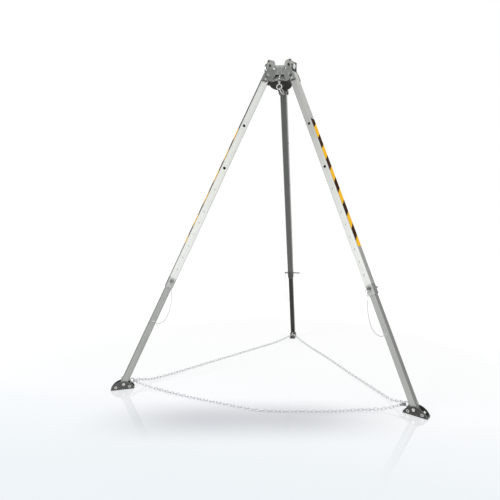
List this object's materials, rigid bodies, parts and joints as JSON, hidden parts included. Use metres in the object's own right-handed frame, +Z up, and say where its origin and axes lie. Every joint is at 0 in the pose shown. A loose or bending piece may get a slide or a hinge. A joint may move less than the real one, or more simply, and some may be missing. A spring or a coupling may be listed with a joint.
{
  "type": "rescue tripod",
  "caption": "Folding confined-space rescue tripod: cast head with rope sheaves and anchor eye, telescopic square legs with lock pins, swivel feet and a floor chain.",
  "frame": {"origin": "on the floor under the middle of the standing tripod's outline", "axes": "+Z up, -Y towards the side with two legs and the hanging link, +X towards the right leg as seen from there"},
  "size_m": [1.7608, 1.6104, 2.0618],
  "materials": {
    "cast_aluminium": "grey cast alloy, fine sand texture",
    "aluminium_tube": "drawn aluminium, lengthwise grain",
    "nylon": "natural nylon",
    "black_plastic": "black moulded plastic",
    "hazard_tape": "yellow and black slanted bands",
    "black_rubber": "ribbed rubber",
    "dark_steel": "dark coated steel plate",
    "dark_zinc": "dark zinc",
    "black_steel": "black oxide",
    "chain_zinc": "bright zinc",
    "coated_wire": "clear coated steel wire",
    "sheave_alloy": "turned alloy",
    "zinc_steel": "zinc plated"
  },
  "bodies": {
    "head": {"head_casting": "cast_aluminium", "pivot_bolts": "zinc_steel", "pivot_washers": "nylon", "cheek_pads": "nylon", "cheek_screws": "zinc_steel", "panel_screws": "zinc_steel", "sheave_axles": "zinc_steel", "keeper_pins": "black_steel", "eye_bolt": "zinc_steel", "chain_front": "chain_zinc", "chain_left": "chain_zinc", "chain_right": "chain_zinc", "chain_ends": "chain_zinc", "quick_link": "dark_zinc"},
    "hanging_link": {"hanging_link": "zinc_steel", "hanging_link_sleeve": "dark_zinc"},
    "upper_leg_left": {"upper_tube_left": "aluminium_tube", "top_cap_left": "black_plastic", "hazard_tape_left": "hazard_tape", "guide_pads_left": "nylon"},
    "lower_leg_left": {"lower_tube_left": "aluminium_tube", "end_plug_left": "black_plastic", "chain_eye_left": "zinc_steel", "lanyard_anchor_left": "zinc_steel", "lanyard_left": "coated_wire"},
    "lock_pin_left": {"lock_pin_left": "dark_zinc"},
    "foot_left": {"foot_bracket_left": "dark_steel", "foot_sole_left": "black_rubber", "foot_bolt_left": "zinc_steel"},
    "sheave_left": {"sheave_left": "sheave_alloy"},
    "upper_leg_right": {"upper_tube_right": "aluminium_tube", "top_cap_right": "black_plastic", "hazard_tape_right": "hazard_tape", "guide_pads_right": "nylon"},
    "lower_leg_right": {"lower_tube_right": "aluminium_tube", "end_plug_right": "black_plastic", "chain_eye_right": "zinc_steel", "lanyard_anchor_right": "zinc_steel", "lanyard_right": "coated_wire"},
    "lock_pin_right": {"lock_pin_right": "dark_zinc"},
    "foot_right": {"foot_bracket_right": "dark_steel", "foot_sole_right": "black_rubber", "foot_bolt_right": "zinc_steel"},
    "sheave_right": {"sheave_right": "sheave_alloy"},
    "upper_leg_rear": {"upper_tube_rear": "aluminium_tube", "top_cap_rear": "black_plastic", "hazard_tape_rear": "hazard_tape", "guide_pads_rear": "nylon"},
    "lower_leg_rear": {"lower_tube_rear": "aluminium_tube", "end_plug_rear": "black_plastic", "chain_eye_rear": "zinc_steel", "lanyard_anchor_rear": "zinc_steel", "lanyard_rear": "coated_wire"},
    "lock_pin_rear": {"lock_pin_rear": "dark_zinc"},
    "foot_rear": {"foot_bracket_rear": "dark_steel", "foot_sole_rear": "black_rubber", "foot_bolt_rear": "zinc_steel"},
    "sheave_rear": {"sheave_rear": "sheave_alloy"}
  },
  "joints": [
    {"name": "leg_fold_left", "type": "hinge", "parent": "head", "child": "upper_leg_left", "pos_m": [-0.09093, -0.2509, 1.95684], "axis": [0.5, -0.866, 0], "range_deg": [0, 22.5], "deforming": ["chain_ends", "quick_link"]},
    {"name": "leg_slide_left", "type": "slide", "parent": "upper_leg_left", "child": "lower_leg_left", "axis": [0.3433, 0.1982, 0.9181], "range_m": [0, 0.462], "deforming": ["chain_ends", "quick_link", "lanyard_left"]},
    {"name": "foot_tilt_left", "type": "hinge", "parent": "lower_leg_left", "child": "foot_left", "pos_m": [-0.81113, -0.66671, 0.031], "axis": [0.5, -0.866, 0], "range_deg": [-30, 12]},
    {"name": "pin_pull_left", "type": "slide", "parent": "lower_leg_left", "child": "lock_pin_left", "axis": [0.5, -0.866, 0], "range_m": [0, 0.105], "deforming": ["lanyard_left"]},
    {"name": "sheave_spin_left", "type": "hinge", "parent": "head", "child": "sheave_left", "pos_m": [-0.07881, -0.2439, 2.02384], "axis": [0.5, -0.866, 0], "continuous": true},
    {"name": "leg_fold_right", "type": "hinge", "parent": "head", "child": "upper_leg_right", "pos_m": [0.09093, -0.2509, 1.95684], "axis": [0.5, 0.866, 0], "range_deg": [0, 22.5], "deforming": ["chain_ends", "quick_link"]},
    {"name": "leg_slide_right", "type": "slide", "parent": "upper_leg_right", "child": "lower_leg_right", "axis": [-0.3433, 0.1982, 0.9181], "range_m": [0, 0.462], "deforming": ["chain_ends", "quick_link", "lanyard_right"]},
    {"name": "foot_tilt_right", "type": "hinge", "parent": "lower_leg_right", "child": "foot_right", "pos_m": [0.81113, -0.66671, 0.031], "axis": [0.5, 0.866, 0], "range_deg": [-30, 12]},
    {"name": "pin_pull_right", "type": "slide", "parent": "lower_leg_right", "child": "lock_pin_right", "axis": [-0.5, -0.866, 0], "range_m": [0, 0.105], "deforming": ["lanyard_right"]},
    {"name": "sheave_spin_right", "type": "hinge", "parent": "head", "child": "sheave_right", "pos_m": [0.07881, -0.2439, 2.02384], "axis": [0.5, 0.866, 0], "continuous": true},
    {"name": "leg_fold_rear", "type": "hinge", "parent": "head", "child": "upper_leg_rear", "pos_m": [0, -0.0934, 1.95684], "axis": [-1, 0, 0], "range_deg": [0, 22.5], "deforming": ["chain_ends", "quick_link"]},
    {"name": "leg_slide_rear", "type": "slide", "parent": "upper_leg_rear", "child": "lower_leg_rear", "axis": [0, -0.3964, 0.9181], "range_m": [0, 0.462], "deforming": ["chain_ends", "quick_link", "lanyard_rear"]},
    {"name": "foot_tilt_rear", "type": "hinge", "parent": "lower_leg_rear", "child": "foot_rear", "pos_m": [0, 0.73821, 0.031], "axis": [-1, 0, 0], "range_deg": [-30, 12]},
    {"name": "pin_pull_rear", "type": "slide", "parent": "lower_leg_rear", "child": "lock_pin_rear", "axis": [-1, 0, 0], "range_m": [0, 0.105], "deforming": ["lanyard_rear"]},
    {"name": "sheave_spin_rear", "type": "hinge", "parent": "head", "child": "sheave_rear", "pos_m": [0, -0.1074, 2.02384], "axis": [-1, 0, 0], "continuous": true},
    {"name": "link_swing", "type": "hinge", "parent": "head", "child": "hanging_link", "pos_m": [0, -0.2584, 1.88984], "axis": [0, 1, 0], "range_deg": [-25, 85]}
  ]
}
